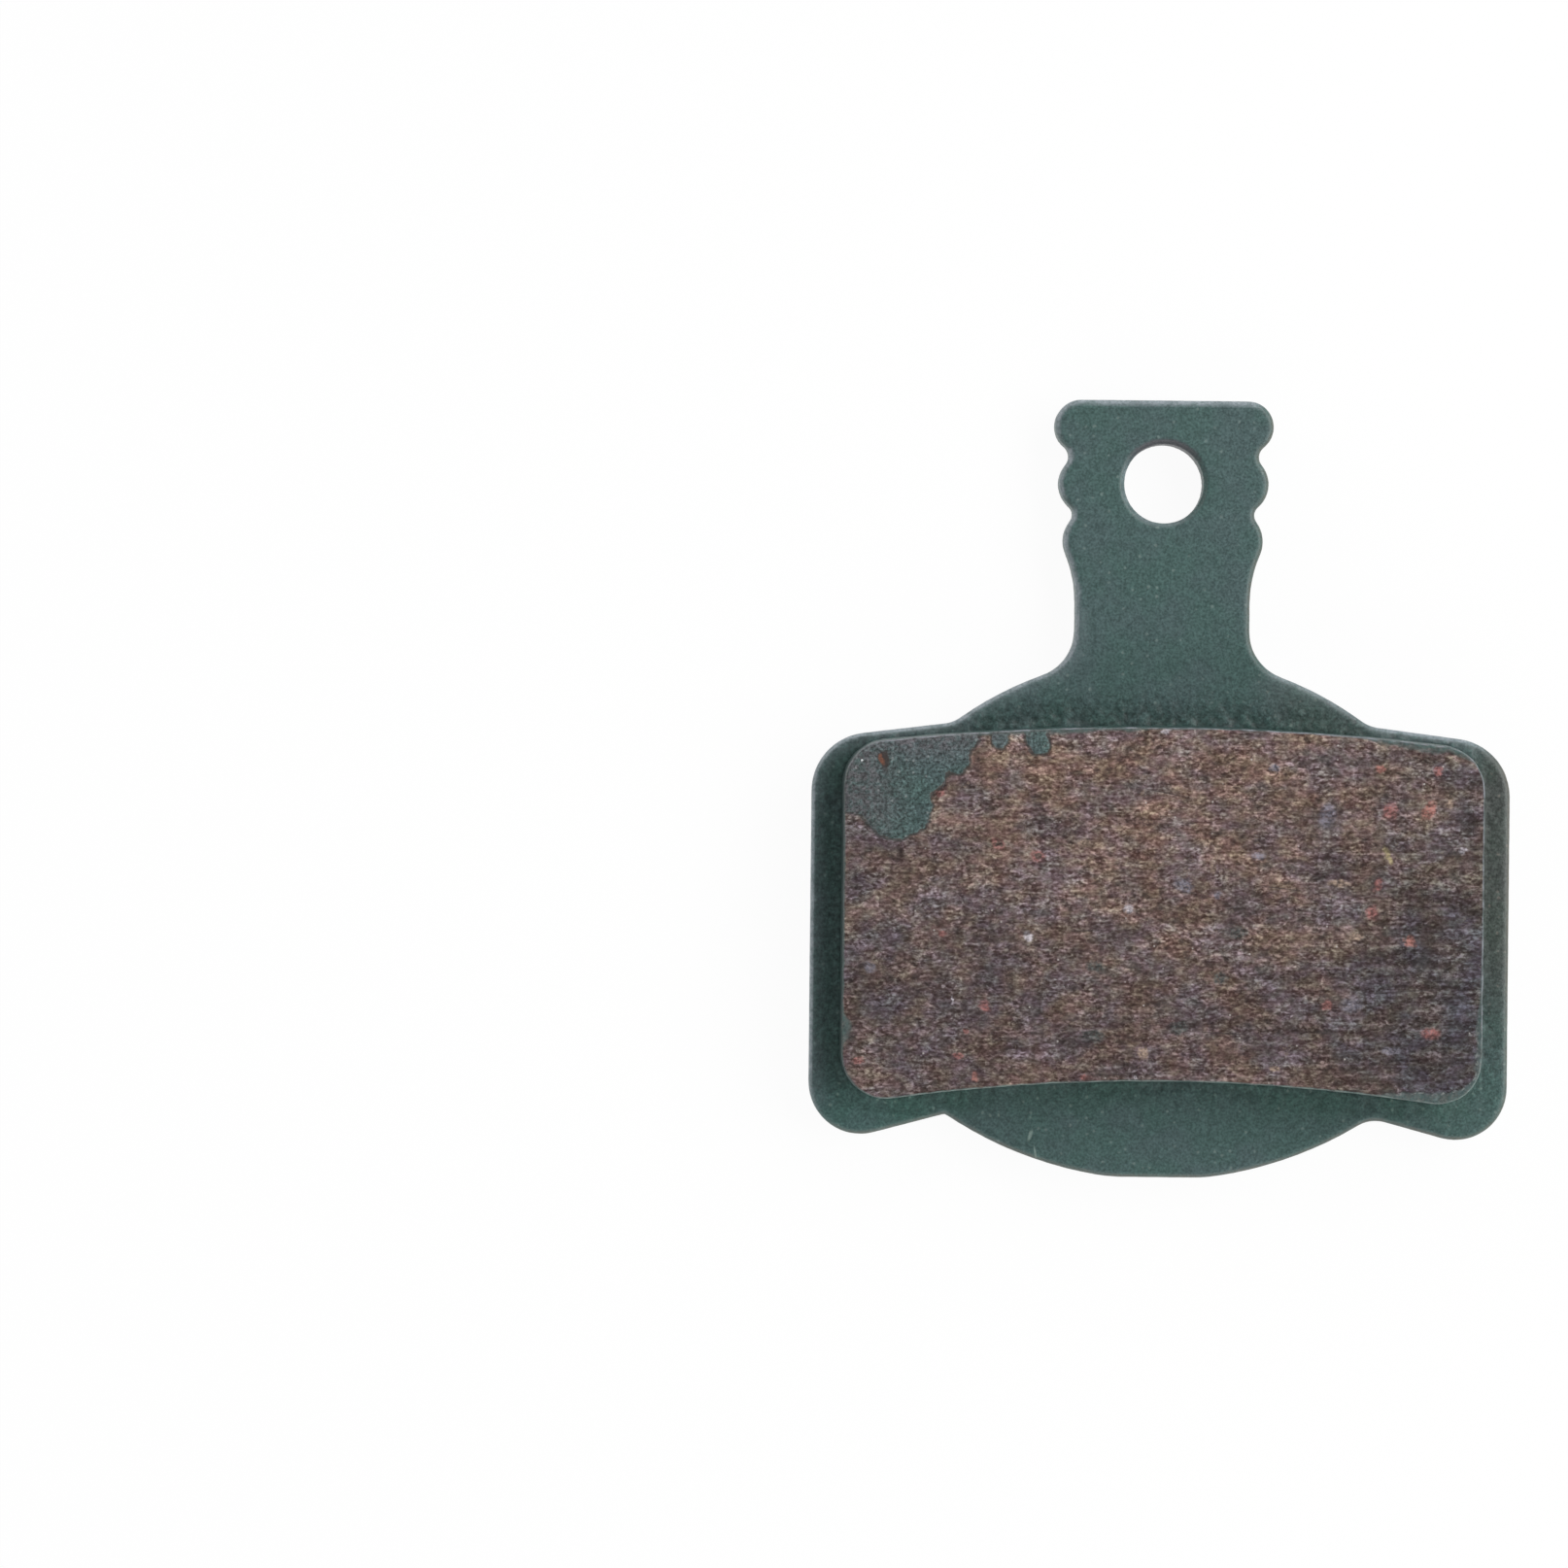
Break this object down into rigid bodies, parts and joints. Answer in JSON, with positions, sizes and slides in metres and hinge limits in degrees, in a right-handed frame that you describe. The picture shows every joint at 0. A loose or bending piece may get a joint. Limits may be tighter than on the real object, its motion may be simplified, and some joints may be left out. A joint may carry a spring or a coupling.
{
  "type": "bicycle disc brake pad",
  "caption": "Flat disc brake pad: a painted steel plate with a scalloped tab and a pin hole, carrying a low block of friction compound that presses on the disc.",
  "frame": {"origin": "on the back face of the plate, on the axis of the caliper's piston, midway between the punched dimples", "axes": "+Z out of the friction face, +Y towards the tab with the pin hole, +X to the right when the friction face is seen with the tab up"},
  "size_m": [0.0336, 0.0373, 0.0042],
  "materials": {
    "plate_paint": "satin blue-green powder coat on blanked steel, finely textured, worn paler along its edges",
    "friction_compound": "matt grey-brown resin-bonded friction compound, ground flat with fine grinding lines and small red, white and blue-grey flecks"
  },
  "bodies": {
    "root": {"backing_plate": "plate_paint", "friction_block": "friction_compound"}
  },
  "joints": []
}
